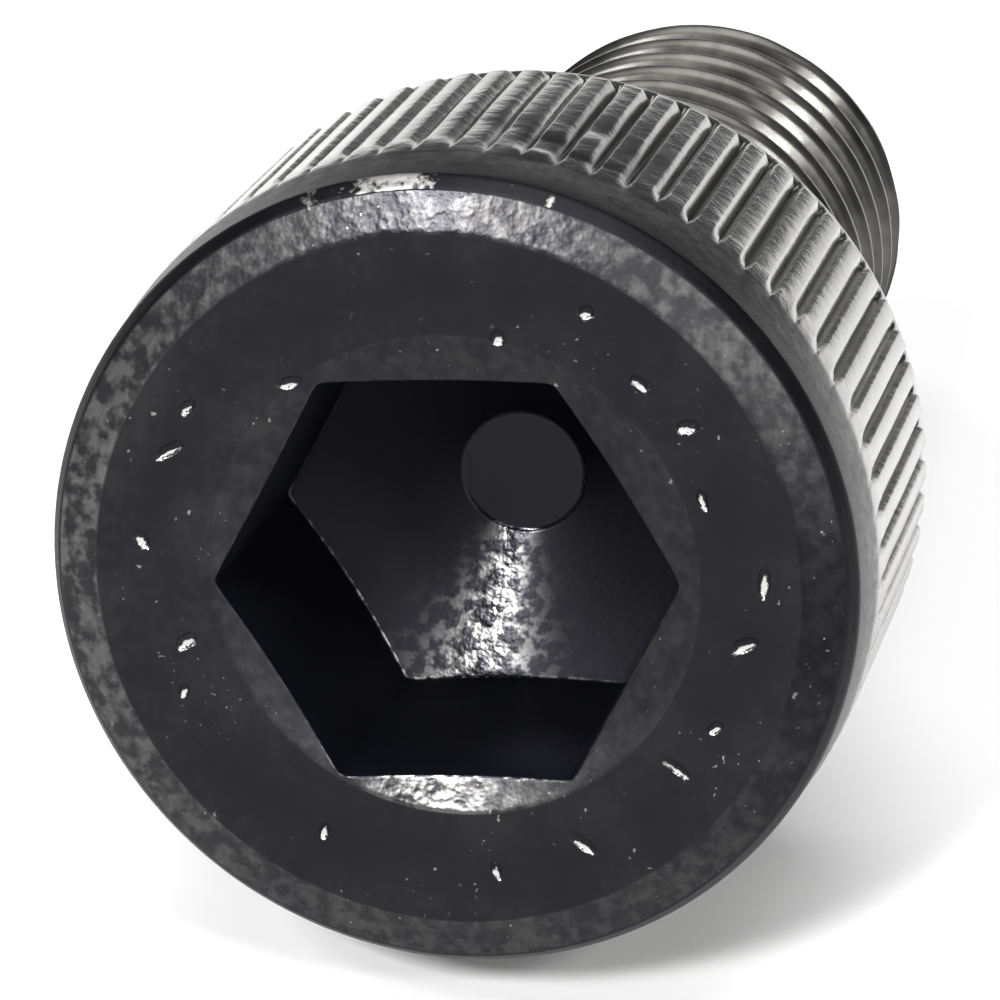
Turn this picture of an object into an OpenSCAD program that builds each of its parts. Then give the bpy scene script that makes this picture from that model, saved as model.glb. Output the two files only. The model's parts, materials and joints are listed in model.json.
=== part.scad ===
// Socket head cap screw, metric M10 x 20, fully threaded, black oxide steel.
// One forged, machined and rolled piece, so one solid and one node.
//
// The screw is drawn upright along its own axis: the driving face is at
// height 0, the head reaches up to head_h and the tip is at the top. It is
// then laid on its side the way it comes to rest on a table, on the rear ends
// of two ridges of the knurl and on the edge of the tip, with the tip towards
// +Y and a little down. The origin is under the middle of the resting screw.

/* [Shank] */
// Diameter over the thread crests
shank_d = 9.9; // [6:0.05:12]
// Length from the bearing face to the end of the tip
shank_len = 20; // [10:1:80]
// Width of the chamfer at the tip, measured across the screw
tip_chamfer_w = 1.05; // [0.2:0.05:2]
// Length of that chamfer along the screw
tip_chamfer_h = 1.1; // [0.3:0.1:2]
// Radius of the fillet between the bearing face and the shank
neck_fillet = 0.6; // [0.2:0.05:1.2]

/* [Head] */
// Diameter of the plain band between the driving face and the knurl
head_d = 16.1; // [14.5:0.1:24]
// Height of the head
head_h = 10; // [8.5:0.1:16]
// Width of the flat bevel round the driving face, seen from the front
edge_bevel_w = 0.8; // [0.3:0.05:1.5]
// Height of that bevel
edge_bevel_h = 0.3; // [0.1:0.05:0.6]
// Width of the steeper step between that bevel and the band
edge_step_w = 0.2; // [0.1:0.05:0.4]
// Height of that step
edge_step_h = 0.3; // [0.1:0.05:0.5]
// Width and height of the chamfer at the rear edge of the head
rear_chamfer = 0.35; // [0.1:0.05:0.8]
// Length of the plain rim between the knurl and that chamfer
rear_rim = 0.3; // [0.1:0.05:1]

/* [Knurl] */
// Number of straight grooves round the head
knurl_count = 72; // [36:1:90]
// Height of the ridges above the plain band
ridge_rise = 0.15; // [0.05:0.01:0.3]
// Distance from the driving face to the front end of the knurl
knurl_start = 2.2; // [1.2:0.1:4]
// Depth of a groove, measured from the top of the ridges
knurl_depth = 0.28; // [0.1:0.01:0.4]
// Share of each ridge and groove pair that the flat top of the ridge takes
ridge_share = 0.62; // [0.3:0.01:0.8]
// Length over which the ridges rise from the band, and over which the
// grooves run on past them into it, at each end
knurl_run_in = 0.15; // [0.05:0.05:0.4]

/* [Socket] */
// Distance across the flats of the hexagon, an 8 mm key with its clearance
socket_af = 8.03; // [5:0.01:9]
// Depth of the flats, from the driving face to the cone at the bottom
socket_depth = 6.2; // [3:0.1:7]
// Diameter of the flat that the punch leaves in the middle of the cone
socket_floor_d = 2.6; // [0.5:0.1:4]
// Slope of the cone at the bottom, from the plane of the face
socket_floor_slope = 28; // [5:1:30]
// Distance by which the countersink reaches past the hexagon's corners
countersink_rim = 0.2; // [0.1:0.05:1]
// Slope of the countersink, from the plane of the face
countersink_slope = 20; // [10:1:45]
// Turn of the hexagon about the axis, from a corner pointing sideways
socket_turn = 55; // [0:1:60]

/* [Hidden] */

BLACK_OXIDE = [0.17, 0.17, 0.18];

// How far a cut runs past the surface it starts from
CUT = 1;
// Any value above 12 gives a true circle
ROUND = 96;

head_r = head_d / 2;
knurl_r = head_r + ridge_rise;
shank_r = shank_d / 2;
tip_r = shank_r - tip_chamfer_w;
screw_len = head_h + shank_len;

// Rear of the head: the grooves stop at the plain rim, and the ridges stand
// at their full height between these two places
knurl_stop = head_h - rear_chamfer - rear_rim;
ridge_start = knurl_start + 2 * knurl_run_in;
ridge_end = knurl_stop - 2 * knurl_run_in;
bearing_r = head_r - rear_chamfer;

// Front of the head: the driving face, the bevel and the steeper step
step_r = head_r - edge_step_w;
face_r = step_r - edge_bevel_w;

// Socket: the cone is as high as its slope makes it between the flats and
// the punch's flat, and it is carried on outwards into the corners
socket_r = socket_af / 2;
socket_corner_r = socket_r / cos(30);
socket_floor_r = socket_floor_d / 2;
cone_h = (socket_r - socket_floor_r) * tan(socket_floor_slope);
corner_rise = (socket_corner_r - socket_r) * tan(socket_floor_slope);
countersink_r = socket_corner_r + countersink_rim;
countersink_h = countersink_r * tan(countersink_slope);

// Rest: a table touches the rear ends of the two lowest ridges, at the edges
// of the groove between them, and the start of the tip's chamfer. The line
// through both makes this angle with the axis.
groove_half_angle = 180 / knurl_count * (1 - ridge_share);
rest_r = knurl_r * cos(groove_half_angle);
crest_end = screw_len - tip_chamfer_h;
rest_tilt = atan((rest_r - shank_r) / (crest_end - ridge_end));
// Height of the axis over the table at the driving face
rest_h = rest_r * cos(rest_tilt) + ridge_end * sin(rest_tilt);
// The ends of the resting screw along Y: the lower edge of the driving face,
// and the upper edge of the flat tip or of its chamfer
rest_front = -face_r * sin(rest_tilt);
rest_back = max(
    screw_len * cos(rest_tilt) + tip_r * sin(rest_tilt),
    crest_end * cos(rest_tilt) + shank_r * sin(rest_tilt));
rest_mid = (rest_front + rest_back) / 2;

// Outline of the head from the axis outwards, with ridges not yet cut
module head_blank() {
    rotate_extrude($fn = ROUND)
        polygon([
            [0, 0],
            [face_r, 0],
            [step_r, edge_bevel_h],
            [head_r, edge_bevel_h + edge_step_h],
            [head_r, ridge_start - knurl_run_in],
            [knurl_r, ridge_start],
            [knurl_r, ridge_end],
            [head_r, ridge_end + knurl_run_in],
            [head_r, head_h - rear_chamfer],
            [bearing_r, head_h],
            [0, head_h]
        ]);
}

// Distance from the axis at which the two straight flanks of a ridge would
// meet, if they ran on past its top from the bottoms of the grooves beside it
function flank_peak(step, top_r, bottom_r, share) =
    let (
        bottom_across = bottom_r * sin(step / 2),
        bottom_out = bottom_r * cos(step / 2),
        top_across = top_r * sin(step * share / 2),
        top_out = top_r * cos(step * share / 2),
        run = bottom_across / (bottom_across - top_across)
    )
    bottom_out + run * (top_out - bottom_out);

// Star of straight flanks, one point on each ridge and one in each groove.
// The screw rests on the two ridges beside the first groove.
function ridge_star(count, top_r, bottom_r, share) =
    let (
        step = 360 / count,
        peak_r = flank_peak(step, top_r, bottom_r, share)
    )
    [
        for (i = [0 : 2 * count - 1])
            let (angle = i * step / 2, r = i % 2 == 0 ? bottom_r : peak_r)
            [r * sin(angle), r * cos(angle)]
    ];

// Everything outside the ridges, over the length of the grooves
module knurl_cut() {
    difference() {
        translate([0, 0, knurl_start])
            cylinder(h = knurl_stop - knurl_start, r = knurl_r + CUT, $fn = ROUND);
        translate([0, 0, knurl_start - CUT])
            linear_extrude(height = knurl_stop - knurl_start + 2 * CUT)
                polygon(ridge_star(knurl_count, knurl_r, knurl_r - knurl_depth,
                    ridge_share));
    }
}

// Hexagonal hole with flats, closed by a cone with a small flat in its middle
module socket_cut() {
    intersection() {
        translate([0, 0, -CUT])
            rotate([0, 0, socket_turn])
                cylinder(h = CUT + socket_depth + cone_h, r = socket_corner_r, $fn = 6);
        rotate_extrude($fn = ROUND)
            polygon([
                [0, -2 * CUT],
                [socket_corner_r + CUT, -2 * CUT],
                [socket_corner_r + CUT, socket_depth - corner_rise
                    - CUT * tan(socket_floor_slope)],
                [socket_floor_r, socket_depth + cone_h],
                [0, socket_depth + cone_h]
            ]);
    }
}

// Shallow cone that opens the hexagon at the driving face
module countersink_cut() {
    rotate_extrude($fn = ROUND)
        polygon([
            [0, -CUT],
            [countersink_r + CUT / tan(countersink_slope), -CUT],
            [0, countersink_h]
        ]);
}

// Shank at the diameter of its thread crests, with the chamfered tip
module shank() {
    rotate_extrude($fn = ROUND)
        polygon([
            [0, head_h - CUT],
            [shank_r, head_h - CUT],
            [shank_r, crest_end],
            [tip_r, screw_len],
            [0, screw_len]
        ]);
}

// Ring that fills the corner between the bearing face and the shank
module neck() {
    rotate_extrude($fn = ROUND)
        difference() {
            translate([shank_r - CUT, head_h - CUT])
                square([neck_fillet + CUT, neck_fillet + CUT]);
            translate([shank_r + neck_fillet, head_h + neck_fillet])
                circle(r = neck_fillet, $fn = ROUND);
        }
}

module at_rest() {
    translate([0, -rest_mid, rest_h])
        rotate([-90 - rest_tilt, 0, 0])
            children();
}

module cap_screw() {
    color(BLACK_OXIDE)
        at_rest()
            difference() {
                union() {
                    head_blank();
                    shank();
                    neck();
                }
                knurl_cut();
                socket_cut();
                countersink_cut();
            }
}

cap_screw();
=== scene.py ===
"""Socket head cap screw in black oxide steel, made around its packed solid, at rest on a pale floor."""
import json
import math

import bpy
import numpy as np
from bpy.props import FloatProperty, FloatVectorProperty, IntProperty, PointerProperty
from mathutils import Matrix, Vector


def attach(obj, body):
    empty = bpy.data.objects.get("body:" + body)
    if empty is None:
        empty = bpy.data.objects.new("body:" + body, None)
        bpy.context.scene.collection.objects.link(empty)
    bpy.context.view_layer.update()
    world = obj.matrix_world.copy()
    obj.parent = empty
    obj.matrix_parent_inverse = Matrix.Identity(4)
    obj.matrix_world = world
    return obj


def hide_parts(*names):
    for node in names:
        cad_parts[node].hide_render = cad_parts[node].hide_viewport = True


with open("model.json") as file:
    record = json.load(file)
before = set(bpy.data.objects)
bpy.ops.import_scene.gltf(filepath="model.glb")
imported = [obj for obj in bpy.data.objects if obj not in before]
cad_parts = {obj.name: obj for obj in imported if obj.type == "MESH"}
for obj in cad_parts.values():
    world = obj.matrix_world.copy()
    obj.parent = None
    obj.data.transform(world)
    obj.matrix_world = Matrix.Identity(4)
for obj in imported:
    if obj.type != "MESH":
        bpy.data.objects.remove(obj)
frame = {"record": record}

bl_info = {
    "name": "Socket Head Cap Screw",
    "version": (1, 0, 0),
    "blender": (4, 5, 0),
    "location": "View3D > Sidebar > Cap Screw",
    "description": "Makes a socket head cap screw with its knurl, socket and rolled thread",
    "category": "Add Mesh",
}

MM = 0.001
FULL_TURN = 2 * math.pi
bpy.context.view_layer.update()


def record_mount(name):
    """The mount of that name in the packed record."""
    return next(m for m in frame["record"]["mounts"] if m["name"] == name)


# The packed part gives the screw's own frame: height 0 is the driving face, and height runs to the tip.
AXIS = np.array(record_mount("shank")["axis"])
FACE_CENTRE = np.array(record_mount("hex_socket")["pos_m"])
SIDE = np.array([1.0, 0.0, 0.0])
DOWN = np.cross(AXIS, SIDE)
HEAD_H = float((np.array(record_mount("bearing_face")["pos_m"]) - FACE_CENTRE) @ AXIS)
SHANK_R = record_mount("shank")["dims"]["r_mm"] * MM
# Straight down from the axis is angle 0, and the side that +X points to is a quarter turn on.
UPWARD = math.pi


def size(default, label, note):
    """A length that a user may change."""
    return FloatProperty(name=label, description=note, default=default, min=0.0, unit="LENGTH", precision=5)


def share(default, label, note, high=1.0):
    """A plain number that a user may change."""
    return FloatProperty(name=label, description=note, default=default, min=0.0, max=high)


def slope(default, label, note):
    """An angle that a user may change, given here in degrees."""
    return FloatProperty(name=label, description=note, default=math.radians(default), subtype="ANGLE")


def tint(default, label, note):
    """A colour that a user may change."""
    return FloatVectorProperty(
        name=label, description=note, default=default, min=0.0, max=1.0, size=3, subtype="COLOR"
    )


class CapScrewHeadSizes(bpy.types.PropertyGroup):
    """Sizes of the head."""

    radius: size(8.05 * MM, "Band Radius", "Radius of the plain band behind the driving face")
    bevel_w: size(0.8 * MM, "Bevel Width", "Width of the bevel round the driving face")
    bevel_h: size(0.3 * MM, "Bevel Height", "Height of the bevel round the driving face")
    step_w: size(0.2 * MM, "Step Width", "Width of the steeper step between the bevel and the band")
    step_h: size(0.3 * MM, "Step Height", "Height of the steeper step between the bevel and the band")
    rear_chamfer: size(0.35 * MM, "Rear Chamfer", "Width and height of the chamfer at the bearing face")
    socket_r: size(4.015 * MM, "Socket Flat Radius", "Distance from the axis to a flat of the hexagon")
    socket_depth: size(6.2 * MM, "Socket Depth", "Depth of the flats of the hexagon")
    socket_turn: slope(55.0, "Socket Turn", "Turn of the hexagon about the axis")
    floor_r: size(1.3 * MM, "Floor Radius", "Radius of the flat in the middle of the socket's cone")
    floor_slope: slope(28.0, "Floor Slope", "Slope of the cone at the bottom of the socket")
    sink_rim: size(0.2 * MM, "Countersink Rim", "How far the countersink reaches past the corners")
    sink_slope: slope(20.0, "Countersink Slope", "Slope of the countersink at the mouth of the socket")
    sink_shift: size(0.22 * MM, "Countersink Shift", "How far the countersink is off the middle")


class CapScrewKnurlSizes(bpy.types.PropertyGroup):
    """Sizes of the knurl."""

    count: IntProperty(name="Grooves", description="Number of straight grooves", default=72, min=24, max=96)
    rise: size(0.15 * MM, "Ridge Rise", "Height of the ridges above the plain band")
    depth: size(0.3 * MM, "Groove Depth", "Depth of a groove from the top of the ridges")
    start: size(2.2 * MM, "Knurl Start", "Distance from the driving face to the front of the knurl")
    rear_rim: size(0.3 * MM, "Rear Rim", "Length of the plain rim behind the knurl")
    run_in: size(0.35 * MM, "Groove Run-in", "Scale of the lengths over which the grooves come in and end")
    unevenness: size(0.14 * MM, "Unevenness", "How far the front end of a groove may be off, either way")


class CapScrewThreadSizes(bpy.types.PropertyGroup):
    """Sizes of the threaded shank."""

    length: size(20.0 * MM, "Length", "Length from the bearing face to the tip")
    pitch: size(1.5 * MM, "Pitch", "Distance from one thread crest to the next")
    tip_w: size(1.05 * MM, "Tip Chamfer Width", "Width of the chamfer at the tip")
    tip_h: size(1.1 * MM, "Tip Chamfer Height", "Length of the chamfer at the tip")
    neck_fillet: size(0.6 * MM, "Neck Fillet", "Radius of the fillet under the head")
    neck: size(0.5 * MM, "Neck", "Length between the fillet and the first full root of the thread")


class CapScrewFinish(bpy.types.PropertyGroup):
    """Colours of the finish."""

    oxide: tint((0.0142, 0.014, 0.0172), "Black Oxide", "Colour of the sound black oxide")
    dull: tint((0.0185, 0.018, 0.0195), "Dull Oxide", "Colour where the oxide is thin or dusty")
    # Lighter and bluer than the black oxide: painted light on the socket's flats
    deep: tint((0.028, 0.03, 0.044), "Deep Oxide", "Colour of the oxide inside the socket")
    bare: tint((0.6, 0.59, 0.565), "Bare Steel", "Colour of the steel where the oxide is rubbed off")
    thread: tint((0.15, 0.147, 0.136), "Thread Steel", "Colour of the rolled thread")


class CapScrewStageSizes(bpy.types.PropertyGroup):
    """The floor, the camera and the lights."""

    floor: tint((0.76, 0.76, 0.76), "Floor Colour", "Colour of the plain floor")
    lens: share(189.5, "Lens", "Focal length in millimetres", high=400.0)
    azimuth: slope(12.09, "Azimuth", "How far the camera stands to the side")
    elevation: slope(27.0, "Elevation", "How far the camera looks down")


GROUPS = (
    ("cap_screw_head", CapScrewHeadSizes),
    ("cap_screw_knurl", CapScrewKnurlSizes),
    ("cap_screw_thread", CapScrewThreadSizes),
    ("cap_screw_finish", CapScrewFinish),
    ("cap_screw_stage", CapScrewStageSizes),
)


# ---- Shapes --------------------------------------------------------------------------------------


def ease(x):
    """Smooth step: 0 below 0, 1 above 1, and 3x^2 - 2x^3 between."""
    x = np.clip(x, 0.0, 1.0)
    return x * x * (3.0 - 2.0 * x)


# Large numbers that scatter the three indices of a cell and its seed, then mix what they give
CELL_FACTORS = (73856093, 19349663, 83492791)
SEED_FACTOR = 2654435761
MIXERS = ((13, 1274126177), (16, 668265263))


def chance(cells, seed):
    """One repeatable number from -1 to 1 for each whole-number cell: its three indices and the seed are each
    multiplied by a large number and joined by exclusive or, the result is mixed twice with itself moved down,
    and sixteen of its bits are read."""
    mixed = seed * SEED_FACTOR
    for index, factor in enumerate(CELL_FACTORS):
        mixed = mixed ^ cells[..., index] * factor
    for shift, factor in MIXERS:
        mixed = (mixed ^ (mixed >> shift)) * factor
    return ((mixed >> 8) & 0xFFFF) / 32767.5 - 1.0


def mottle(points, cell, seed):
    """Smooth noise from -1 to 1 at each point: the corners of a cubic lattice of that cell size have chance
    heights, and a point blends the eight round it with the smooth step of its place between them."""
    place = points / cell
    low = np.floor(place).astype(np.int64)
    part = ease(place - low)
    total = np.zeros(points.shape[:-1])
    for corner in np.ndindex(2, 2, 2):
        weight = np.prod(np.where(corner, part, 1.0 - part), axis=-1)
        total += weight * chance(low + np.array(corner), seed)
    return total


def apart(angle, middle):
    """Signed difference of two angles, from minus to plus half a turn."""
    return (angle - middle + math.pi) % FULL_TURN - math.pi


def bell(angle, place):
    """Bell curve exp(-x^2) round the axis, where the place gives its middle angle and its half width."""
    middle, half_width = place
    x = apart(angle, middle) / half_width
    return np.exp(-x * x)


def outline_rows(corners, rounds, stretches, bends):
    """Rows of an outline with rounded corners, for every column at once. Corner k is an array of (radius,
    height), one for each column. A straight stretch runs from rounds[k] past corner k to rounds[k + 1] short
    of the next, with a row at each of its shares. Each corner between is the quadratic curve that is tangent
    to both stretches. Returns the rows, and for each row the number of its stretch, or a half more on a
    bend."""
    rows, where = [], []
    directions = [b - a for a, b in zip(corners, corners[1:])]
    directions = [d / np.linalg.norm(d, axis=1, keepdims=True) for d in directions]
    for k, shares in enumerate(stretches):
        first = corners[k] + rounds[k] * directions[k]
        last = corners[k + 1] - rounds[k + 1] * directions[k]
        for t in shares:
            rows.append(first + t * (last - first))
            where.append(float(k))
        if k + 1 < len(stretches):
            peak = corners[k + 1]
            leave = peak + rounds[k + 1] * directions[k + 1]
            for t in np.arange(1, bends[k] + 1) / (bends[k] + 1):
                rows.append((1 - t) ** 2 * last + 2 * t * (1 - t) * peak + t * t * leave)
                where.append(k + 0.5)
    return np.array(rows), np.array(where)


def even(count):
    """Shares from 0 to 1 in equal steps."""
    return np.linspace(0.0, 1.0, count)


def turned(radius, angle, height):
    """Points of the screw's own frame: out along the angle by the radius, then on along the axis."""
    return np.stack([radius * np.sin(angle), radius * np.cos(angle), height], axis=-1)


def at_rest(points):
    """Points of the lying screw: the own frame's three directions are the side, down and the axis."""
    return FACE_CENTRE + points @ np.stack([SIDE, DOWN, AXIS])


def grid_normals(points):
    """Unit normals of a grid that closes on itself sideways: the cross product of the step along a column
    and the step along a row."""
    along = np.roll(points, -1, axis=1) - np.roll(points, 1, axis=1)
    down = np.gradient(points, axis=0)
    normal = np.cross(down, along)
    return normal / np.maximum(np.linalg.norm(normal, axis=-1, keepdims=True), 1e-30)


def grid_faces(rows, columns):
    """Corner numbers of the quads of a grid that closes on itself sideways."""
    i, j = np.meshgrid(np.arange(rows - 1), np.arange(columns), indexing="ij")
    after = (j + 1) % columns
    row, next_row = i * columns, (i + 1) * columns
    return np.stack([row + j, next_row + j, next_row + after, row + after], -1).reshape(-1, 4)


def fan(middle, ring):
    """Triangles from one point to each edge of a closed ring of points."""
    return np.stack([np.full(len(ring), middle), ring, np.roll(ring, -1)], -1)


def make_mesh(name, points, faces, marks):
    """A mesh object from arrays: points, a list of arrays of faces with equal numbers of corners, and marks,
    one number for each point under each name. Refuses a mesh that is inside out."""
    mesh = bpy.data.meshes.new(name)
    counts = np.concatenate([np.full(len(group), group.shape[1]) for group in faces])
    corners = np.concatenate([group.ravel() for group in faces])
    mesh.vertices.add(len(points))
    mesh.vertices.foreach_set("co", points.astype(np.float32).ravel())
    mesh.loops.add(len(corners))
    mesh.loops.foreach_set("vertex_index", corners.astype(np.int32))
    mesh.polygons.add(len(counts))
    mesh.polygons.foreach_set("loop_start", np.concatenate([[0], np.cumsum(counts)[:-1]]).astype(np.int32))
    mesh.update(calc_edges=True)
    if mesh.validate():
        raise RuntimeError(f"{name}: the mesh has a bad face")
    mesh.shade_smooth()
    for mark, values in marks.items():
        layer = mesh.attributes.new(mark, "FLOAT", "POINT")
        layer.data.foreach_set("value", values.astype(np.float32).ravel())
    middle = points - points.mean(axis=0)
    volume = 0.0
    for group in faces:
        face = middle[group]
        for k in range(1, group.shape[1] - 1):
            volume += np.einsum("ij,ij->", face[:, 0], np.cross(face[:, k], face[:, k + 1])) / 6
    if volume <= 0:
        raise RuntimeError(f"{name}: the mesh is inside out")
    made = bpy.data.objects.new(name, mesh)
    bpy.context.scene.collection.objects.link(made)
    return made


# ---- The head ------------------------------------------------------------------------------------

# The stretches of the head's outline, in order from the middle of the socket
FLOOR, CONE, FLATS, SINK, FACE, BEVEL, STEP, BAND, REAR, BEARING = range(10)
COLUMNS_A_RIDGE = 7
# Where the columns of one ridge lie, as shares of the pitch: the groove, its two flanks and the top
RIDGE_SPREAD = np.array([0.0, 0.05, 0.29, 0.35, 0.79, 0.85, 0.95])
# The columns are drawn to those places from this far in front of the knurl, over this length
SPREAD_LEAD = 0.9 * MM
SPREAD_OVER = 0.8 * MM

# Rows on each stretch, the last being the short one inside the shank. The band's are placed by the knurl.
ROW_COUNTS = (3, 22, 5, 8, 34, 12, 5, 0, 3, 3, 2)
BEND_ROWS = (2, 2, 2, 2, 2, 2, 2, 2, 2, 9)
# Rounding of each corner of the outline. The one under the head is the neck's fillet.
CORNER_ROUNDS = np.array([0, 0.06, 0.05, 0.04, 0.06, 0.07, 0.06, 0.1, 0.06, 0.05, 0, 0]) * MM
# The floor's outline starts this far from the axis, and a fan closes it
FLOOR_HOLE_R = 0.02 * MM
# The outline ends this deep inside the shank, this many fillets past the bearing face
END_DEPTH = 0.05 * MM
END_FILLETS = 1.15
# The side that the countersink is shifted to
SINK_TOWARDS = UPWARD - 0.8

# A ridge starts to rise this far from the driving face, over this much more than the knurl's start, and is
# down again this far before the knurl's end. A groove starts this far in front of the knurl.
RIDGE_FROM = 0.6 * MM
RIDGE_OVER = 0.2 * MM
RIDGE_END = 0.12 * MM
GROOVE_LEAD = 0.2 * MM
# Run-ins that a groove takes at its front and rear end, and that a ridge takes at its rear end
GROOVE_FRONT, GROOVE_REAR, RIDGE_REAR = 3.4, 0.5, 0.6
# On the way from a ridge's middle, at 0, to the groove's, at 1: where the flank starts on either side, and
# where the steep bottom starts
FLANK_FROM = (0.38, 0.66)
STEEP_FROM = 0.9

# Places round the head, each the middle angle and the half width of a bell curve
BEATEN_RIDGES = (UPWARD - 0.2, 0.26)
# Where the ridges get extra bright steel, as painted sheen on the upper left of the knurl
RIDGES_PAINTED_SHEEN = (UPWARD + 0.75, 1.1)
# Places at the bottom of the socket and the countersink where the lamp's highlight falls: their bright steel
# is painted highlight
FLOOR_RIM_PAINTED_HIGHLIGHT = (-0.5, 0.7)
MOUTH_RIM_PAINTED_HIGHLIGHT = (0.0, 0.4)
CONE_PAINTED_HIGHLIGHT = (-0.12, 0.28)
SINK_PAINTED_HIGHLIGHT = (-0.02, 0.42)
# The bevel's places also set its painted light: sheen at the left and upper right, shade at the right
BEVEL_TOP = (UPWARD + 0.06, 0.5)
BEVEL_LEFT = (-1.7, 0.9)
BEVEL_SHEEN_UPPER_RIGHT = (UPWARD - 0.8, 0.5)
BEVEL_SHADE_RIGHT = (1.6, 0.7)
# Where the bevel's right side is darkened, as painted shade
BEVEL_PAINTED_SHADE = (1.6, 0.8)
# Scuffs on the step, each with its strength
SCUFFS = (((UPWARD + 0.17, 0.14), 1.0), ((UPWARD + 0.38, 0.03), 0.7), ((UPWARD - 0.22, 0.02), 0.7))
# Where round the driving face something struck it
STRUCK_AT = np.radians([
    -121, -110, -94, -73, -59, -140, 58, 68, 84, 99, 113, 127, 140, 156, 169, -24, 31, 14
])
# The beaten stretch of the knurl ends this far from the driving face, and fades over this length
BEATEN_TO = 7.5 * MM
BEATEN_FADE = 5 * MM
# Relief of the forging in millimetres: the least grain, what a coarse place adds, and the broad waves
FINE_GRAIN, COARSE_GRAIN, BROAD_WAVES = 0.0008, 0.003, 0.006


def hexagon_radius(angle, flat_r, turn):
    """Distance from the axis to a hexagon with slightly rounded corners: the flat's distance over the p-norm
    of the cosines towards the three pairs of flats. A large p gives sharp corners."""
    sharpness = 90
    flats = math.pi / 2 - (turn + math.pi / 6 + np.arange(3) * math.pi / 3)
    cosines = np.abs(np.cos(angle[:, None] - flats[None, :]))
    return flat_r / np.sum(cosines**sharpness, axis=1) ** (1 / sharpness)


def shifted_circle(angle, radius, shift, towards):
    """Distance from the axis to a circle whose centre is shifted: s cos(a) + sqrt(r^2 - s^2 sin^2(a))."""
    away = angle - towards
    return shift * np.cos(away) + np.sqrt(radius**2 - (shift * np.sin(away)) ** 2)


def corner_radius(head):
    """Distance from the axis to a corner of the socket."""
    return head.socket_r / math.cos(math.pi / 6)


def face_middle_radius(head):
    """Radius halfway between the countersink and the bevel."""
    face_r = head.radius - head.step_w - head.bevel_w
    return (face_r + corner_radius(head) + head.sink_rim) / 2


def head_outline(angle, head, knurl, neck_fillet):
    """Rows of the head from the middle of the socket's floor, up the socket, over the driving face, along the
    outside, in over the bearing face, and round the fillet to a place just inside the shank."""
    hexagon = hexagon_radius(angle, head.socket_r, head.socket_turn)
    sink = shifted_circle(angle, corner_radius(head) + head.sink_rim, head.sink_shift, SINK_TOWARDS)
    rise = math.tan(head.floor_slope)
    floor_z = head.socket_depth + (head.socket_r - head.floor_r) * rise
    wall_z = head.socket_depth + (head.socket_r - hexagon) * rise
    mouth_z = (sink - hexagon) * math.tan(head.sink_slope)
    step_r = head.radius - head.step_w
    band_z = head.bevel_h + head.step_h
    inside_r = SHANK_R - END_DEPTH
    same = np.ones_like(angle)
    pairs = [
        (FLOOR_HOLE_R * same, floor_z * same),
        (head.floor_r * same, floor_z * same),
        (hexagon, wall_z),
        (hexagon, mouth_z),
        (sink, 0 * same),
        ((step_r - head.bevel_w) * same, 0 * same),
        (step_r * same, head.bevel_h * same),
        (head.radius * same, band_z * same),
        (head.radius * same, (HEAD_H - head.rear_chamfer) * same),
        ((head.radius - head.rear_chamfer) * same, HEAD_H * same),
        (inside_r * same, HEAD_H * same),
        (inside_r * same, (HEAD_H + END_FILLETS * neck_fillet) * same),
    ]
    corners = [np.stack(pair, axis=-1) for pair in pairs]
    rounds = CORNER_ROUNDS.copy()
    rounds[BEARING + 1] = neck_fillet
    outside = HEAD_H - head.rear_chamfer - band_z
    front = (knurl.start - band_z) / outside
    rear = 1 - (knurl.rear_rim + 0.1 * MM) / outside
    run = (knurl.run_in + knurl.unevenness) / outside
    # The rows lie closest together where the grooves come in and where they end
    long_side = np.concatenate([
        np.linspace(0, front - run, 8),
        np.linspace(front - run * 0.8, front + 2.4 * run, 20),
        np.linspace(front + 2.7 * run, rear - 1.6 * run, 34),
        np.linspace(rear - 1.4 * run, rear + run * 0.25, 9),
        [1.0],
    ])
    stretches = [even(count) for count in ROW_COUNTS]
    stretches[BAND] = long_side
    return outline_rows(corners, rounds, stretches, BEND_ROWS)


def knurl_height(angle, height, head, knurl, ruin):
    """How far the knurl stands off the plain band: the rise of the ridge, less the depth of the groove times
    the share of it that a place takes. A ridge comes up gently from near the front edge, and its top falls
    towards the grooves by up to a tenth. Its flanks start at unequal places and fall straight by about half
    the depth, and the steep bottom of the groove takes the rest. The grooves come in gently, from front ends
    that lie a little apart. Where ruin is 1 the ridges are beaten down and the grooves half filled."""
    pitch = FULL_TURN / knurl.count
    stop = HEAD_H - head.rear_chamfer - knurl.rear_rim
    nearest = np.round(angle / pitch)
    groove = nearest.astype(np.int64) % knurl.count
    cells = np.stack([groove, np.zeros_like(groove), np.zeros_like(groove)], -1)
    groove_late = knurl.unevenness * chance(cells, 4)
    groove_deep = 1 + 0.12 * chance(cells, 5)
    steep_top = 0.45 + 0.1 * chance(cells, 6)

    up = ease((height - RIDGE_FROM) / (knurl.start + RIDGE_OVER))
    up = up * ease((stop - RIDGE_END - height) / (RIDGE_REAR * knurl.run_in))
    cut = ease((height - knurl.start - groove_late + GROOVE_LEAD) / (GROOVE_FRONT * knurl.run_in))
    cut = cut * ease((stop - height) / (GROOVE_REAR * knurl.run_in))

    offset = apart(angle, nearest * pitch)
    inward = 1 - np.abs(offset) / (pitch / 2)
    flank_from = np.where(offset > 0, *FLANK_FROM)
    flank = steep_top * (inward - flank_from) / (STEEP_FROM - flank_from)
    bottom = steep_top + (1 - steep_top) * ease((inward - STEEP_FROM) / 0.1)
    taken = np.where(inward < STEEP_FROM, flank, bottom)
    taken = np.maximum(taken - 0.7 * (1 - cut), 0)
    crown = 0.1 * inward**2
    top = knurl.rise * up * (1 - crown) * (1 - 0.75 * ruin)
    return top - knurl.depth * groove_deep * cut * taken * (1 - 0.55 * ruin)


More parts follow.
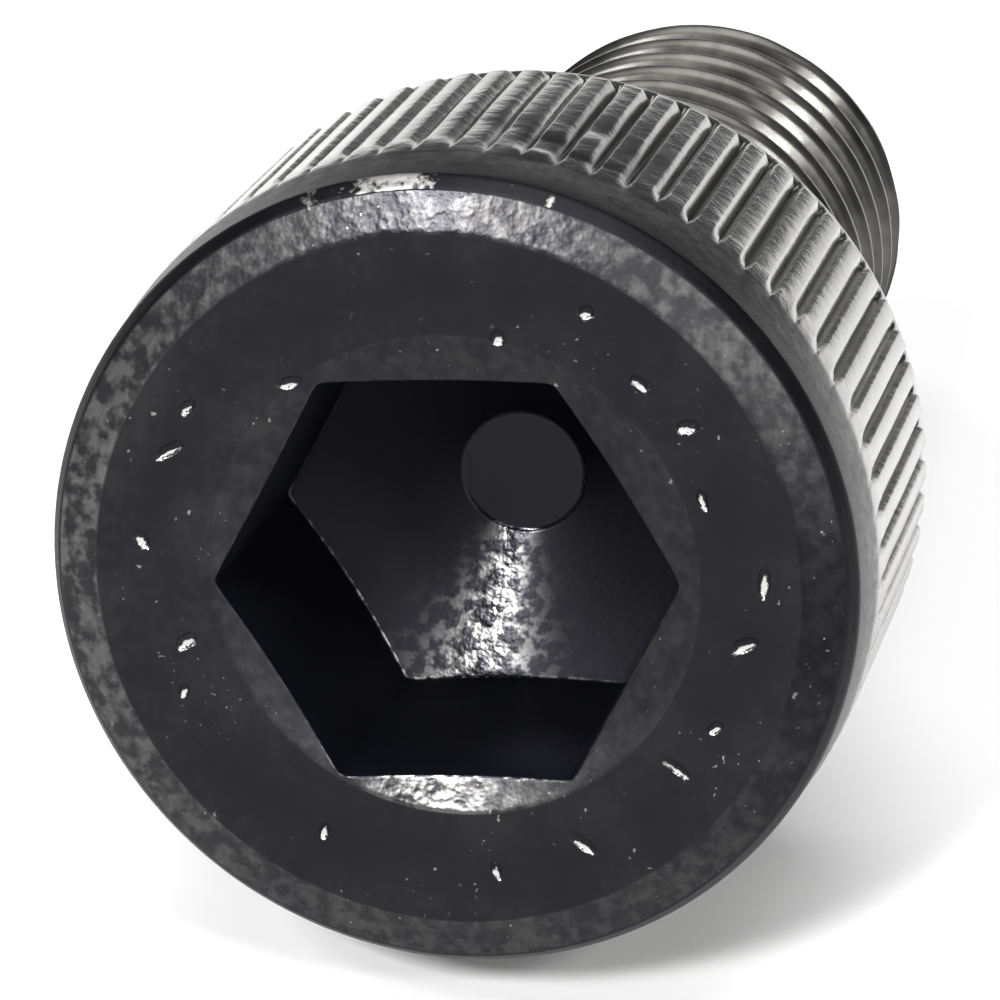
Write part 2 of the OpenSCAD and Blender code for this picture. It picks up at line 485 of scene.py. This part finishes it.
def spot(points, centre, along, length, width):
    """Bell curve round a centre, 1 in its middle, and longer in one direction than across."""
    offset = points - centre
    axial = offset @ along
    across = np.sum(offset**2, axis=-1) - axial**2
    return np.exp(-((axial / length) ** 2) - across / width**2)


def struck_spots(head, rng):
    """Places where the driving face was struck, as (angle, radius, direction, length, width)."""
    places = []
    for angle in STRUCK_AT:
        places.append((
            angle + rng.normal(0, 0.03),
            face_middle_radius(head) + rng.normal(0, 0.4) * MM,
            rng.uniform(0, math.pi),
            rng.uniform(0.14, 0.36) * MM,
            rng.uniform(0.1, 0.14) * MM,
        ))
    return places


def head_zones(where, columns):
    """For each part of the head, which points of its grid lie on it."""
    stretch = np.repeat(where[:, None], columns, axis=1)
    return {
        "floor": stretch < CONE,
        "cone": (stretch > FLOOR) & (stretch < FLATS),
        "floor rim": stretch == CONE + 0.5,
        "flats": (stretch > CONE + 0.4) & (stretch < SINK),
        "mouth rim": stretch == FLATS + 0.5,
        "sink": (stretch > FLATS) & (stretch < FACE),
        "face": stretch == FACE,
        "face and bevel": (stretch > SINK) & (stretch <= BEVEL),
        "bevel": (stretch > FACE) & (stretch <= BEVEL),
        "step": (stretch > BEVEL) & (stretch < BAND),
        "band": stretch >= BAND,
        "outside": (stretch >= BAND) & (stretch <= REAR),
        "past the flats": stretch > FLATS,
    }


def head_coarseness(zones, angle):
    """How coarse the grain of the forging is: most on the bevel and in the socket, and not on the face."""
    return np.select([zones["cone"], zones["sink"], zones["bevel"], zones["step"]], [
        0.2 + 0.8 * bell(angle, CONE_PAINTED_HIGHLIGHT),
        0.3 + 0.7 * bell(angle, SINK_PAINTED_HIGHLIGHT),
        0.4 + 0.6 * np.maximum(bell(angle, BEVEL_TOP), bell(angle, BEVEL_LEFT)),
        0.4 * np.ones_like(angle),
    ])


def head_shine(zones, angle, radius, height, ridge_side, ruin, head):
    """Share of bright steel: a trace in the thin oxide of the places that rub, and much of the ridges. Part
    of it is
    painted light: sheen and shade round the bevel and the face, sheen on the upper left of the knurl, shade
    on its beaten stretch, and highlights at the bottom of the socket and the countersink.
    """
    left = bell(angle, BEVEL_LEFT)
    # Painted sheen at the left and upper right of the bevel, and less steel at the top, where the lamp's
    # highlight falls
    bevel = 0.034 - 0.016 * bell(angle, BEVEL_TOP) + 0.045 * left + 0.04 * bell(angle, BEVEL_SHEEN_UPPER_RIGHT)
    face_edge = 0.3 + 0.7 * np.abs(2 * (radius - face_middle_radius(head)) / (1.6 * MM)) ** 2
    shine = np.select([zones["cone"], zones["sink"], zones["face"], zones["bevel"], zones["band"]], [
        # Painted highlight: bright steel at the bottom of the cone and of the countersink
        0.095 * bell(angle, CONE_PAINTED_HIGHLIGHT),
        0.014 + 0.078 * bell(angle, SINK_PAINTED_HIGHLIGHT),
        # The face's trace of steel is larger on the left, as painted sheen
        0.007 * np.clip(face_edge, 0, 1) * (0.5 + left),
        # Painted shade: most of the bevel's steel is taken away on its right
        bevel * (1 - 0.8 * bell(angle, BEVEL_SHADE_RIGHT)),
        0.17 * ease((height - 0.5 * MM) / (1.4 * MM)),
    ])
    # Worn ridges are bare steel. The bell adds painted sheen on the upper left of the knurl, and the beaten
    # stretch near the top gets less, which darkens it as painted shade.
    rubbed = 0.53 + 0.3 * bell(angle, RIDGES_PAINTED_SHEEN)
    shine = np.maximum(shine, rubbed * ridge_side * (1 - 0.55 * ruin))
    rear_edge = zones["outside"] * ease((height - HEAD_H + 0.8 * MM) / (0.15 * MM))
    # Painted highlight: bright steel at the bottom of the floor's rim and the mouth's rim
    rim = zones["floor rim"] * bell(angle, FLOOR_RIM_PAINTED_HIGHLIGHT)
    rim = rim + zones["mouth rim"] * bell(angle, MOUTH_RIM_PAINTED_HIGHLIGHT)
    return np.maximum(np.maximum(shine, 0.5 * rear_edge), 0.5 * rim)


def head_roughness(zones, angle, ridge_side):
    """Roughness of each part of the head, least where it is worn."""
    parts = [zones[name] for name in ("floor", "cone", "sink", "bevel", "step", "band")]
    bevel_worn = np.maximum(bell(angle, BEVEL_TOP), 0.5 * bell(angle, BEVEL_LEFT))
    return np.select(parts, [
        0.2 * np.ones_like(angle),
        0.58 - 0.33 * bell(angle, CONE_PAINTED_HIGHLIGHT),
        0.48 - 0.2 * bell(angle, SINK_PAINTED_HIGHLIGHT),
        0.52 - 0.2 * bevel_worn - 0.17 * bell(angle, BEVEL_SHADE_RIGHT),
        0.5 * np.ones_like(angle),
        0.45 - 0.22 * ridge_side,
    ], 0.42)


def head_dents(zones, points, head):
    """Depth of the dents in the driving face, and a painted highlight on the lower lip of each, from 0 to 1.
    """
    rng = np.random.default_rng(7)
    zone = zones["face and bevel"]
    struck = np.zeros(points.shape[:-1])
    glint = np.zeros(points.shape[:-1])
    for at, out, turn, length, width in struck_spots(head, rng):
        along = np.array([math.cos(turn), math.sin(turn), 0.0])
        centre = turned(out, at, 0.0)
        struck = np.maximum(struck, spot(points, centre, along, length, width) * zone)
        # The lower lip faces the lamp; its bright steel is a painted highlight
        lip = centre + np.array([0.0, 0.75 * width, 0.0])
        glint = np.maximum(glint, spot(points, lip, along, 0.85 * length, 0.55 * width) * zone)
    return struck, glint


def build_head(head, knurl, neck_fillet, finish):
    """The head: the outline turned about the axis, with the columns drawn to the flanks of the ridges along
    the knurl, then moved outwards by the knurl and along its normals by the relief of the forging."""
    columns = knurl.count * COLUMNS_A_RIDGE
    even_angle = np.arange(columns) * FULL_TURN / columns
    outline, where = head_outline(even_angle, head, knurl, neck_fillet)
    radius, height = outline[..., 0], outline[..., 1]
    zones = head_zones(where, columns)
    outside = zones["outside"]
    tooth = np.arange(columns) // COLUMNS_A_RIDGE
    drawn = (tooth + np.tile(RIDGE_SPREAD, knurl.count)) * FULL_TURN / knurl.count
    pull = outside * ease((height - knurl.start + SPREAD_LEAD) / SPREAD_OVER)
    angle = even_angle + (drawn - even_angle) * pull

    # The beaten stretch of the knurl, a little to the right of the top
    ruin = bell(angle, BEATEN_RIDGES) * ease((BEATEN_TO - height) / BEATEN_FADE)
    patchy = mottle(turned(radius, angle, height), 0.9 * MM, 11)
    ruin = np.clip(ruin * (1.1 + 0.7 * patchy), 0, 1) * outside
    stands = np.where(outside, knurl_height(angle, height, head, knurl, ruin), 0)
    points = turned(radius + stands, angle, height)

    coarse = head_coarseness(zones, angle)
    grain = 0.6 * mottle(points, 0.2 * MM, 21) + 0.4 * mottle(points, 0.1 * MM, 22)
    broad = mottle(points, 1.4 * MM, 23)
    lift = (FINE_GRAIN + COARSE_GRAIN * coarse) * MM * grain
    lift = lift + BROAD_WAVES * MM * broad * zones["past the flats"]

    # Share of a groove's depth: the finish darkens the oxide there, as painted shade
    groove = np.clip(-stands / (0.12 * MM), 0, 1)
    ridge_side = np.clip((stands + 0.11 * MM) / (0.14 * MM), 0, 1) * outside
    ridge_side = ridge_side * ease((height - knurl.start + 0.25 * MM) / (0.5 * MM))
    scuffs = [strength * bell(angle, place) for place, strength in SCUFFS]
    struck, glint = head_dents(zones, points, head)
    marks = {
        "grain": coarse,
        "shine": head_shine(zones, angle, radius, height, ridge_side, ruin, head),
        "rough": head_roughness(zones, angle, ridge_side),
        # The groove mark is painted shade: in the knurl's grooves, and on the right of the bevel
        "groove": np.maximum(groove, 0.75 * zones["bevel"] * bell(angle, BEVEL_PAINTED_SHADE)),
        "struck": struck,
        "glint": glint,
        "scuffed": np.max(scuffs, axis=0) * zones["step"],
        "flats": zones["flats"].astype(float),
    }

    points = at_rest(points + grid_normals(points) * lift[..., None])
    rows = len(where)
    every = np.concatenate([points.reshape(-1, 3), [points[0].mean(axis=0), points[-1].mean(axis=0)]])
    ring = np.arange(columns)
    start = fan(rows * columns, ring)
    # The far end faces the other way
    end = fan(rows * columns + 1, (rows - 1) * columns + ring)[:, [2, 1, 0]]
    marks = {name: np.append(values.ravel(), [values[0, 0], values[-1, 0]]) for name, values in marks.items()}
    made = make_mesh("screw_head", every, [grid_faces(rows, columns), start, end], marks)
    inside = np.repeat(where[:-1] < FLATS + 0.9, columns)
    slots = np.concatenate([inside, np.ones(columns), np.zeros(columns)])
    made.data.materials.append(black_oxide(finish))
    made.data.materials.append(socket_oxide(finish))
    made.data.polygons.foreach_set("material_index", slots.astype(np.int32))
    return made


# ---- The threaded shank --------------------------------------------------------------------------

ROWS_A_PITCH = 16
SHANK_COLUMNS = 144
# How far the shank's mesh starts inside the head
SHANK_SUNK = 1.7 * MM
# Radius of the round root of a metric thread, as a share of the pitch
ROOT_SHARE = 0.14434
# The rows near the tip crowd together over this length, and the helix runs on past its start by the next
TIP_CROWD = 0.45 * MM
TIP_RUN_ON = 2.1 * MM
# A crest counts as one down to this depth
CREST_BAND = 0.25 * MM
# How uneven the crests are, and how far they stay inside the solid's cylinder
CREST_RELIEF = 0.012 * MM


def thread_depth(turns, pitch):
    """Depth of the thread below its crests at a distance along the axis, counted in turns from a crest: a
    flat of an eighth of the pitch, flanks at thirty degrees to a plane across the screw, and a round root
    tangent to both flanks."""
    along = np.abs(turns - np.round(turns)) * pitch
    flank = math.tan(math.pi / 3)
    root_r = ROOT_SHARE * pitch
    flat = pitch / 16
    root_at = pitch / 2
    root_centre = flank * (root_at - flat) - 2 * root_r
    tangent_at = root_at - root_r * math.cos(math.pi / 6)
    straight = np.maximum(along - flat, 0) * flank
    rounded = root_centre + np.sqrt(np.maximum(root_r**2 - (root_at - along) ** 2, 0))
    return np.where(along < tangent_at, straight, rounded)


def build_shank(thread):
    """The shank: a grid whose rows follow the thread's helix, one turn joining the row that lies a pitch on.
    The radius is the crest's less the thread's depth, held under the cone of the tip's chamfer. Near the tip
    the rows crowd together towards its plane, and a fan closes each end."""
    pitch = thread.pitch
    tip = HEAD_H + thread.length
    start = HEAD_H - SHANK_SUNK
    bend = tip - TIP_CROWD
    rows = int(round((bend + TIP_RUN_ON - start) / pitch * ROWS_A_PITCH)) + 1
    row, column = np.meshgrid(np.arange(rows), np.arange(SHANK_COLUMNS), indexing="ij")
    run = start + pitch * (row / ROWS_A_PITCH + column / SHANK_COLUMNS)
    crowded = tip - TIP_CROWD * np.exp(-np.maximum(run - bend, 0) / TIP_CROWD)
    height = np.where(run < bend, run, crowded)
    angle = -column * FULL_TURN / SHANK_COLUMNS
    turns = (height - start) / pitch - column / SHANK_COLUMNS
    fade = ease((height - HEAD_H - thread.neck_fillet - thread.neck) / pitch)
    depth = thread_depth(turns, pitch) * fade
    crest = np.clip(1 - depth / CREST_BAND, 0, 1)
    rolled = turned(SHANK_R, angle, height)
    depth = depth + CREST_RELIEF * crest * mottle(rolled, 0.7 * MM, 31)
    cone = SHANK_R - thread.tip_w * (height - (tip - thread.tip_h)) / thread.tip_h
    radius = np.minimum(SHANK_R - CREST_RELIEF - depth, cone)
    points = at_rest(turned(radius, angle, height)).reshape(-1, 3)

    # Quads along the helix, and across the seam from the last column to the first column one pitch on
    number = row * SHANK_COLUMNS + column
    inner = np.stack([number[:-1, :-1], number[:-1, 1:], number[1:, 1:], number[1:, :-1]], -1).reshape(-1, 4)
    here = number[: rows - ROWS_A_PITCH, -1]
    there = number[ROWS_A_PITCH:, 0]
    seam = np.stack([here[:-1], there[:-1], there[1:], here[1:]], -1)

    # The tip's flat: the helix's last edge, the same edge drawn a little inwards, and the middle
    low_edge = np.concatenate([number[0], number[ROWS_A_PITCH:0:-1, 0]])
    high_edge = np.concatenate([number[-1], number[rows - 2 : rows - 2 - ROWS_A_PITCH : -1, -1]])
    low_middle = at_rest(np.array([[0, 0, start]]))
    high_middle = at_rest(np.array([[0, 0, tip]]))
    drawn_in = high_middle + 0.97 * (points[high_edge] - high_middle)
    extra = len(points) + 2
    every = np.concatenate([points, low_middle, high_middle, drawn_in])
    inside = extra + np.arange(len(high_edge))
    low_fan = fan(extra - 2, low_edge)[:, [0, 2, 1]]
    rim = np.stack([high_edge, np.roll(high_edge, -1), np.roll(inside, -1), inside], -1)
    high_fan = fan(extra - 1, inside)
    flat = np.zeros(2 + len(high_edge))
    marks = {"crest": np.concatenate([crest.ravel(), flat])}
    return make_mesh("threaded_shank", every, [inner, seam, rim, low_fan, high_fan], marks)


# ---- Finishes ------------------------------------------------------------------------------------


# Sockets of the Mix node that carry colours, which share their names with those for numbers
MIX_FIRST, MIX_SECOND, MIX_RESULT = 6, 7, 2


class Field:
    """One output of a finish's nodes. Arithmetic with numbers and other fields adds Math nodes."""

    def __init__(self, finish, socket):
        self.finish = finish
        self.socket = socket

    def math_node(self, operation, first, second):
        """What a Math node makes of two numbers or fields."""
        return self.finish.node("ShaderNodeMath", {"operation": operation}, {0: first, 1: second})

    def __add__(self, other):
        return self.math_node("ADD", self, other)

    def __radd__(self, other):
        return self.math_node("ADD", other, self)

    def __sub__(self, other):
        return self.math_node("SUBTRACT", self, other)

    def __rsub__(self, other):
        return self.math_node("SUBTRACT", other, self)

    def __mul__(self, other):
        return self.math_node("MULTIPLY", self, other)

    def __rmul__(self, other):
        return self.math_node("MULTIPLY", other, self)


class Finish:
    """A material whose nodes are written as expressions."""

    def __init__(self, name):
        self.material = bpy.data.materials.new(name)
        self.material.use_nodes = True
        self.tree = self.material.node_tree
        self.shader = self.tree.nodes["Principled BSDF"]

    def put(self, socket, value):
        """Links a field to a socket, or sets its value."""
        if isinstance(value, Field):
            self.tree.links.new(value.socket, socket)
        elif isinstance(value, (tuple, list)) and len(value) == 3 and socket.type == "RGBA":
            socket.default_value = (*value, 1.0)
        else:
            socket.default_value = value

    def node(self, kind, settings, inputs, output=0):
        """Adds a node of that kind, makes its settings, fills its sockets, and gives one of its outputs."""
        made = self.tree.nodes.new(kind)
        for setting, value in settings.items():
            setattr(made, setting, value)
        for socket, value in inputs.items():
            self.put(made.inputs[socket], value)
        return Field(self, made.outputs[output])

    def mark(self, name):
        """The number that the mesh holds at each point under that name."""
        return self.node("ShaderNodeAttribute", {"attribute_name": name}, {}, "Fac")

    def noise(self, cell, detail, roughness):
        """Noise from 0 to 1 whose patches are about one cell across."""
        place = self.node("ShaderNodeTexCoord", {}, {}, "Object")
        sockets = {"Vector": place, "Scale": 1 / cell, "Detail": detail, "Roughness": roughness}
        return self.node("ShaderNodeTexNoise", {}, sockets, "Fac")

    def between(self, value, low, high):
        """Eased step: 0 where the value is under low, and 1 where it is over high."""
        sockets = {"Value": value, "From Min": low, "From Max": high}
        return self.node("ShaderNodeMapRange", {"interpolation_type": "SMOOTHSTEP"}, sockets)

    def blend(self, share, first, second):
        """First colour where the share is 0, and the second where it is 1."""
        sockets = {"Factor": share, MIX_FIRST: first, MIX_SECOND: second}
        return self.node("ShaderNodeMix", {"data_type": "RGBA"}, sockets, MIX_RESULT)

    def bumped(self, height, distance):
        """Normal of the surface with a relief of that height, whose full range is the distance."""
        sockets = {"Height": height, "Distance": distance, "Strength": 1.0}
        return self.node("ShaderNodeBump", {}, sockets, "Normal")

    def finish_with(self, **sockets):
        """Fills the shader's sockets, whose names are given with underscores for spaces."""
        for name, value in sockets.items():
            self.put(self.shader.inputs[name.replace("_", " ")], value)
        return self.material


def black_oxide(colours):
    """Black oxide on the forged head. Sound oxide is nearly black, and duller in clouds; the groove mark
    darkens it further in the knurl's grooves and on the right of the bevel, as painted shade. Bright steel
    shows on the ridges, in blotches where the oxide is rubbed thin, and on the scuffs; where the shine mark
    sets it round the bevel, the countersink and one side of the knurl, it is also painted highlight, sheen
    and shade. The lower lips of the dents get bright steel as a painted highlight, which a noise makes
    ragged. The relief is the coarse grain of the forging, less the dents."""
    finish = Finish("black_oxide")
    grain = finish.mark("grain")
    shine = finish.mark("shine")
    groove = finish.mark("groove")
    clouds = finish.noise(1.6 * MM, 3.0, 0.6)
    speckle = finish.noise(0.36 * MM, 2.0, 0.6)
    crystals = finish.noise(0.13 * MM, 1.0, 0.5)
    ragged = finish.noise(0.2 * MM, 2.0, 0.6)
    dent = finish.between(finish.mark("struck") + 0.6 * ragged, 0.55, 0.95)
    # lip: bright steel on the dents' lower lips, a painted highlight
    lip = finish.between(finish.mark("glint") + 1.1 * ragged, 0.9, 1.15)
    scuff = finish.between(0.8 * finish.mark("scuffed") + 1.2 * ragged, 1.05, 1.4)
    specks = finish.between(crystals, 0.72, 0.79) * finish.between(clouds, 0.48, 0.62)
    rubbed = finish.between(speckle, 0.4, 0.62)
    patchy = 1.0 - grain + grain * (0.3 + 1.4 * rubbed)
    blotchy = finish.between(0.35 * ragged + 0.4 * speckle + 0.25 * clouds, 0.38, 0.64)
    ridge = finish.between(shine, 0.18, 0.4)
    spread = 0.85 - 0.5 * grain
    bare = shine * patchy * (ridge + (1 - ridge) * (1 - 0.55 * spread + 1.1 * spread * blotchy))
    # 0.8 * lip is the dents' painted highlight
    bare = bare + 0.8 * lip + 0.7 * scuff + 0.3 * specks * (1 - ridge)
    dull = finish.between(clouds, 0.35, 0.75) * (1 - groove)
    sound = finish.blend(dull, tuple(colours.oxide), tuple(colours.dull))
    # Painted shade: the oxide is darkened to a quarter where the groove mark is
    sound = finish.blend(0.75 * groove, sound, tuple(0.25 * c for c in colours.oxide))
    relief = grain * (0.9 * speckle + 0.25 * crystals) + 0.04 * crystals + 0.1 * clouds
    relief = relief + 0.5 * (0.4 + 0.6 * ridge) * finish.between(shine, 0.07, 0.14) * speckle - 1.8 * dent
    return finish.finish_with(
        Base_Color=finish.blend(bare, sound, tuple(colours.bare)),
        Metallic=1.0,
        Roughness=finish.mark("rough") + 0.12 * clouds - 0.06 - 0.15 * lip + 0.3 * dent * (1 - lip),
        Normal=finish.bumped(relief, 0.03 * MM),
    )


def socket_oxide(colours):
    """Black oxide inside the socket: its flats take a lighter, bluer copy of the oxide, as painted light
    inside the socket, and the cone has the same coarse grain as outside.
    """
    finish = Finish("socket_oxide")
    grain = finish.mark("grain")
    shine = finish.mark("shine")
    speckle = finish.noise(0.3 * MM, 2.0, 0.6)
    crystals = finish.noise(0.13 * MM, 1.0, 0.5)
    drawn = finish.noise(0.5 * MM, 2.0, 0.5)
    relief = grain * (0.8 * speckle + 0.45 * crystals) + 0.04 * crystals + 0.08 * drawn
    # Bright steel from the shine mark, at the bottom of the cone and on the rims: painted highlight
    bare = shine * (0.08 + 2.1 * finish.between(speckle, 0.44, 0.6))
    # Painted light: the flats take the lighter deep oxide
    sound = finish.blend(finish.mark("flats"), tuple(colours.oxide), tuple(colours.deep))
    return finish.finish_with(
        Base_Color=finish.blend(bare, sound, tuple(colours.bare)),
        Metallic=1.0,
        Roughness=finish.mark("rough") + 0.06 * drawn,
        Normal=finish.bumped(relief, 0.03 * MM),
    )


def rolled_steel(colours):
    """The rolled thread: thin oxide over steel, in lighter and darker clouds, rougher on the crests, with
    fine marks.
    """
    finish = Finish("rolled_steel")
    crest = finish.mark("crest")
    clouds = finish.noise(1.2 * MM, 3.0, 0.6)
    drawn = finish.noise(0.6 * MM, 1.0, 0.5)
    worn = finish.between(clouds, 0.3, 0.7) * 0.5
    colour = finish.blend(worn, tuple(0.4 * c for c in colours.thread), tuple(colours.thread))
    return finish.finish_with(
        Base_Color=colour,
        Metallic=1.0,
        Roughness=0.17 + 0.1 * clouds + 0.18 * crest,
        Normal=finish.bumped(drawn, 0.01 * MM),
    )


def pale_floor(colour):
    """Plain matt floor with the faintest unevenness of tone."""
    finish = Finish("pale_floor")
    clouds = finish.noise(60 * MM, 2.0, 0.5)
    lighter = tuple(min(1.0, c * 1.01) for c in colour)
    return finish.finish_with(
        Base_Color=finish.blend(clouds, tuple(colour), lighter),
        Roughness=0.9,
        Specular_IOR_Level=0.1,
    )


# ---- The stage -----------------------------------------------------------------------------------


# The floor: radii of its flat rings, where the arc at its rim starts, and that arc's radius and turn
FLOOR_RINGS = [0.03, 0.12, 0.24]
FLOOR_FLAT_R = 0.36
FLOOR_ARC_R = 0.15
FLOOR_ARC_DEGREES = 40
FLOOR_COLUMNS = 96
# Each lamp's name, direction from the screw, distance, width, height and power
LAMPS = (
    ("key_lamp", (-0.23, -0.77, 0.6), 1.2, 0.25, 0.17, 18.5),
    ("side_lamp", (0.5, -0.82, 0.29), 1.2, 0.3, 0.3, 4.5),
    ("edge_lamp", (0.52, -0.6, 0.6), 1.2, 0.13, 0.13, 4.5),
    ("far_side_lamp", (-0.41, -0.52, 0.75), 1.2, 0.13, 0.13, 3.0),
    ("top_lamp", (0.05, 0.05, 1.0), 0.6, 0.5, 0.5, 4.2),
)
SURROUNDINGS = (0.085, 0.085, 0.09, 1)
# The camera's place, from the middle of the driving face
CAMERA_FROM_FACE = Vector((19.943, -87.933, 47.785)) * MM


def lamp(name, towards, distance, width, height, power):
    """A soft rectangular lamp, that far from the screw in a direction, and facing it."""
    light = bpy.data.lights.new(name, "AREA")
    light.shape = "RECTANGLE"
    light.size = width
    light.size_y = height
    light.energy = power
    made = bpy.data.objects.new(name, light)
    direction = Vector(towards).normalized()
    made.location = Vector(FACE_CENTRE) + direction * distance
    made.rotation_euler = direction.to_track_quat("Z", "Y").to_euler()
    bpy.context.scene.collection.objects.link(made)


def sweep_floor():
    """Points and faces of the floor, turned about the upright: flat out to a radius, then rising on an arc,
    with a fan in the middle."""
    arc = np.radians(np.linspace(0, FLOOR_ARC_DEGREES, 9))
    radius = np.concatenate([FLOOR_RINGS, FLOOR_FLAT_R + FLOOR_ARC_R * np.sin(arc)])
    height = np.concatenate([np.zeros(len(FLOOR_RINGS)), FLOOR_ARC_R * (1 - np.cos(arc))])
    angle = np.arange(FLOOR_COLUMNS) * FULL_TURN / FLOOR_COLUMNS
    out, about = np.meshgrid(radius, angle, indexing="ij")
    up = np.repeat(height[:, None], FLOOR_COLUMNS, axis=1)
    points = np.stack([out * np.cos(about), out * np.sin(about), up], axis=-1).reshape(-1, 3)
    middle = fan(len(points), np.arange(FLOOR_COLUMNS))
    faces = middle.tolist() + grid_faces(len(radius), FLOOR_COLUMNS).tolist()
    return np.append(points, [[0, 0, 0]], axis=0), faces


def build_stage(stage):
    """A wide flat floor that bends up at its rim, the lamps, the dim surroundings and the camera."""
    mesh = bpy.data.meshes.new("floor")
    points, faces = sweep_floor()
    mesh.from_pydata(points.tolist(), [], faces)
    mesh.shade_smooth()
    mesh.materials.append(pale_floor(stage.floor))
    floor = bpy.data.objects.new("floor", mesh)
    bpy.context.scene.collection.objects.link(floor)

    for settings in LAMPS:
        lamp(*settings)

    world = bpy.data.worlds.new("studio")
    world.use_nodes = True
    world.node_tree.nodes["Background"].inputs["Color"].default_value = SURROUNDINGS
    bpy.context.scene.world = world

    view = bpy.data.cameras.new("camera")
    view.lens = stage.lens
    view.sensor_width = 36.0
    view.clip_start = 0.005
    view.clip_end = 5.0
    camera = bpy.data.objects.new("camera", view)
    camera.location = Vector(FACE_CENTRE) + CAMERA_FROM_FACE
    camera.rotation_euler = (math.pi / 2 - stage.elevation, 0.0, stage.azimuth)
    bpy.context.scene.collection.objects.link(camera)
    bpy.context.scene.camera = camera
    bpy.context.scene.view_settings.view_transform = "Standard"


# ---- The add-on ----------------------------------------------------------------------------------


class CAPSCREW_OT_head(bpy.types.Operator):
    """Makes the head with its socket, bevels and knurl"""

    bl_idname = "cap_screw.head"
    bl_label = "Make Head"

    def execute(self, context):
        scene = context.scene
        fillet = scene.cap_screw_thread.neck_fillet
        made = build_head(scene.cap_screw_head, scene.cap_screw_knurl, fillet, scene.cap_screw_finish)
        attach(made, "root")
        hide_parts("cap_screw")
        return {"FINISHED"}


class CAPSCREW_OT_shank(bpy.types.Operator):
    """Makes the shank with its rolled thread"""

    bl_idname = "cap_screw.shank"
    bl_label = "Make Threaded Shank"

    def execute(self, context):
        scene = context.scene
        made = build_shank(scene.cap_screw_thread)
        made.data.materials.append(rolled_steel(scene.cap_screw_finish))
        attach(made, "root")
        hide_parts("cap_screw")
        return {"FINISHED"}


class CAPSCREW_OT_stage(bpy.types.Operator):
    """Makes the floor, the lamps and the camera"""

    bl_idname = "cap_screw.stage"
    bl_label = "Make Stage"

    def execute(self, context):
        build_stage(context.scene.cap_screw_stage)
        return {"FINISHED"}


class CAPSCREW_PT_panel(bpy.types.Panel):
    """Lists the sizes and the pieces"""

    bl_idname = "CAPSCREW_PT_panel"
    bl_label = "Socket Head Cap Screw"
    bl_space_type = "VIEW_3D"
    bl_region_type = "UI"
    bl_category = "Cap Screw"

    def draw(self, context):
        for group, kind in GROUPS:
            box = self.layout.box()
            box.label(text=kind.__doc__)
            for name in kind.__annotations__:
                box.prop(getattr(context.scene, group), name)
        for operator in OPERATORS:
            self.layout.operator(operator.bl_idname)


OPERATORS = (CAPSCREW_OT_head, CAPSCREW_OT_shank, CAPSCREW_OT_stage)


def register():
    for group, kind in GROUPS:
        bpy.utils.register_class(kind)
        setattr(bpy.types.Scene, group, PointerProperty(type=kind))
    for kind in (*OPERATORS, CAPSCREW_PT_panel):
        bpy.utils.register_class(kind)


def unregister():
    for kind in reversed((*OPERATORS, CAPSCREW_PT_panel)):
        bpy.utils.unregister_class(kind)
    for group, kind in reversed(GROUPS):
        delattr(bpy.types.Scene, group)
        bpy.utils.unregister_class(kind)


def main():
    register()
    for operator in OPERATORS:
        group, name = operator.bl_idname.split(".")
        getattr(getattr(bpy.ops, group), name)()


if __name__ == "__main__":
    main()
